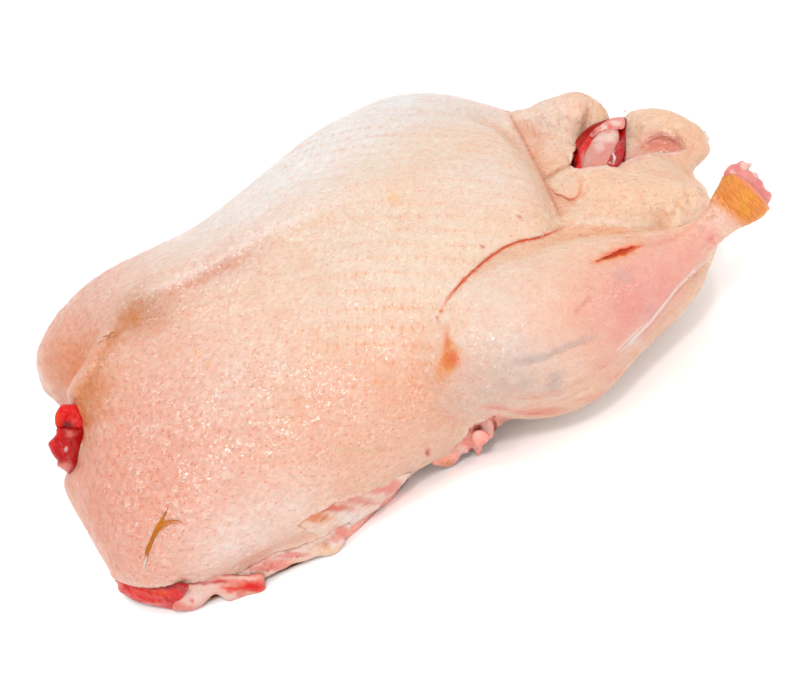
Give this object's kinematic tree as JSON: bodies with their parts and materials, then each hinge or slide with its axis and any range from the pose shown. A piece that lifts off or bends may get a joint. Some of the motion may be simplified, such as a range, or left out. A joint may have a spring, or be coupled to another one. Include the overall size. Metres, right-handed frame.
{
  "type": "whole raw duck",
  "caption": "Whole raw muscovy duck, plucked and dressed, lying on its back with the breast up, one leg laid along the side and the vent end open.",
  "frame": {"origin": "centre of the bounding box at its lowest height, on the surface the duck rests on", "axes": "+X from the neck end to the tail, +Z from the back up to the breastbone, the bird's right leg on the -Y side"},
  "size_m": [0.3742, 0.229, 0.1243],
  "materials": {
    "skin": "moist raw skin, pale peach and cream with rosy parts, rows of small feather pits, satin with small wet glints",
    "flesh": "wet red and pink flesh with whitish membranes, glossy",
    "membrane": "moist pinkish white membrane and fat, soft gloss",
    "feather": "wet brown feather remnant and pale hairs"
  },
  "bodies": {
    "root": {"duck": "skin"}
  },
  "joints": []
}
